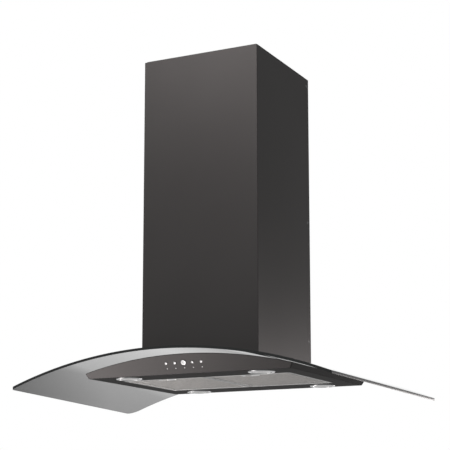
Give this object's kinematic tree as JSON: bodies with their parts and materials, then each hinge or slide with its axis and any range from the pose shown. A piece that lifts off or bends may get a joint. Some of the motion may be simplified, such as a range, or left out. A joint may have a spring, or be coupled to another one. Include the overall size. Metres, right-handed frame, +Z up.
{
  "type": "curved glass island range hood",
  "caption": "Island range hood: arched smoked glass canopy over a shallow black steel body with grease filters, lamps and push buttons, under a square telescopic chimney.",
  "frame": {"origin": "centre of the ceiling plate's top face, where the hood meets the ceiling", "axes": "+Z up, out of the ceiling plate; +X to the right across the glass; -Y towards the front with the buttons"},
  "size_m": [0.8998, 0.636, 0.8593],
  "materials": {
    "smoked_glass": "polished smoked glass",
    "black_metal": "satin black",
    "black_screw": "satin black",
    "zinc_steel": "galvanised",
    "bolt_steel": "zinc plated",
    "rubber": "matt",
    "aluminium": "satin",
    "chrome": "polished",
    "lamp_glass": "frosted",
    "button_white": "gloss",
    "indicator": "clear",
    "black_plastic": "moulded",
    "circuit_board": "lacquered",
    "motor_steel": "satin"
  },
  "bodies": {
    "ceiling": {"ceiling_plate": "zinc_steel", "upper_cover_front": "black_metal", "upper_cover_rear": "black_metal", "upper_cover_screws": "black_screw", "ceiling_nuts": "bolt_steel", "upper_angle_front_left": "zinc_steel", "upper_angle_front_right": "zinc_steel", "upper_angle_rear_left": "zinc_steel", "upper_angle_rear_right": "zinc_steel"},
    "hood": {"glass_canopy": "smoked_glass", "canopy_body": "black_metal", "underside_panel": "black_metal", "lower_cover_front": "black_metal", "lower_cover_rear": "black_metal", "lower_cover_screws": "black_screw", "lower_angle_front_left": "zinc_steel", "lower_angle_front_right": "zinc_steel", "lower_angle_rear_left": "zinc_steel", "lower_angle_rear_right": "zinc_steel", "blower_chassis": "zinc_steel", "outlet_collar": "zinc_steel", "motor_bracket": "zinc_steel", "damper_pin": "zinc_steel", "frame_bolts": "bolt_steel", "frame_nuts": "bolt_steel", "chassis_bolts": "bolt_steel", "glass_gasket": "rubber", "glass_bushes": "rubber", "motor_capacitor": "aluminium", "lamp_body_1": "chrome", "lamp_body_2": "chrome", "lamp_body_3": "chrome", "lamp_body_4": "chrome", "lamp_lens_1": "lamp_glass", "lamp_lens_2": "lamp_glass", "lamp_lens_3": "lamp_glass", "lamp_lens_4": "lamp_glass", "indicator_lights": "indicator", "button_carrier": "black_plastic", "junction_box": "black_plastic", "junction_lid": "black_plastic", "cable_gland": "black_plastic", "scroll_left": "black_plastic", "scroll_right": "black_plastic", "control_board": "circuit_board", "motor": "motor_steel"},
    "blower_wheel": {"blower_wheel": "black_plastic"},
    "damper_front": {"damper_front": "black_plastic"},
    "damper_rear": {"damper_rear": "black_plastic"},
    "filter_left": {"filter_frame_left": "aluminium", "filter_mesh_left": "aluminium"},
    "filter_right": {"filter_frame_right": "aluminium", "filter_mesh_right": "aluminium"},
    "latch_left": {"filter_latch_left": "chrome"},
    "latch_right": {"filter_latch_right": "chrome"},
    "button_timer": {"button_timer": "button_white"},
    "button_slower": {"button_slower": "button_white"},
    "button_power": {"button_power": "button_white"},
    "button_faster": {"button_faster": "button_white"},
    "button_light": {"button_light": "button_white"}
  },
  "joints": [
    {"name": "height_adjust", "type": "slide", "parent": "ceiling", "child": "hood", "axis": [0, 0, -1], "range_m": [0, 0.3]},
    {"name": "wheel_spin", "type": "hinge", "parent": "hood", "child": "blower_wheel", "pos_m": [0, -0.05997, -0.662], "axis": [1, 0, 0], "continuous": true},
    {"name": "damper_front_swing", "type": "hinge", "parent": "hood", "child": "damper_front", "pos_m": [0, 0, -0.489], "axis": [1, 0, 0], "range_deg": [-70, 0]},
    {"name": "damper_rear_swing", "type": "hinge", "parent": "hood", "child": "damper_rear", "pos_m": [0, 0, -0.489], "axis": [1, 0, 0], "range_deg": [0, 70]},
    {"name": "filter_left_tilt", "type": "hinge", "parent": "hood", "child": "filter_left", "pos_m": [-0.1142, 0.137, -0.813], "axis": [1, 0, 0], "range_deg": [0, 50]},
    {"name": "latch_left_slide", "type": "slide", "parent": "filter_left", "child": "latch_left", "axis": [0, 1, 0], "range_m": [0, 0.0065], "stiffness_N_per_m": 250, "springref_m": -0.004},
    {"name": "filter_right_tilt", "type": "hinge", "parent": "hood", "child": "filter_right", "pos_m": [0.1142, 0.137, -0.813], "axis": [1, 0, 0], "range_deg": [0, 50]},
    {"name": "latch_right_slide", "type": "slide", "parent": "filter_right", "child": "latch_right", "axis": [0, 1, 0], "range_m": [0, 0.0065], "stiffness_N_per_m": 250, "springref_m": -0.004},
    {"name": "timer_press", "type": "slide", "parent": "hood", "child": "button_timer", "axis": [0, 0.8944, 0.4472], "range_m": [0, 0.0015], "stiffness_N_per_m": 400, "springref_m": -0.002},
    {"name": "slower_press", "type": "slide", "parent": "hood", "child": "button_slower", "axis": [0, 0.8944, 0.4472], "range_m": [0, 0.0015], "stiffness_N_per_m": 400, "springref_m": -0.002},
    {"name": "power_press", "type": "slide", "parent": "hood", "child": "button_power", "axis": [0, 0.8944, 0.4472], "range_m": [0, 0.0015], "stiffness_N_per_m": 400, "springref_m": -0.002},
    {"name": "faster_press", "type": "slide", "parent": "hood", "child": "button_faster", "axis": [0, 0.8944, 0.4472], "range_m": [0, 0.0015], "stiffness_N_per_m": 400, "springref_m": -0.002},
    {"name": "light_press", "type": "slide", "parent": "hood", "child": "button_light", "axis": [0, 0.8944, 0.4472], "range_m": [0, 0.0015], "stiffness_N_per_m": 400, "springref_m": -0.002}
  ]
}
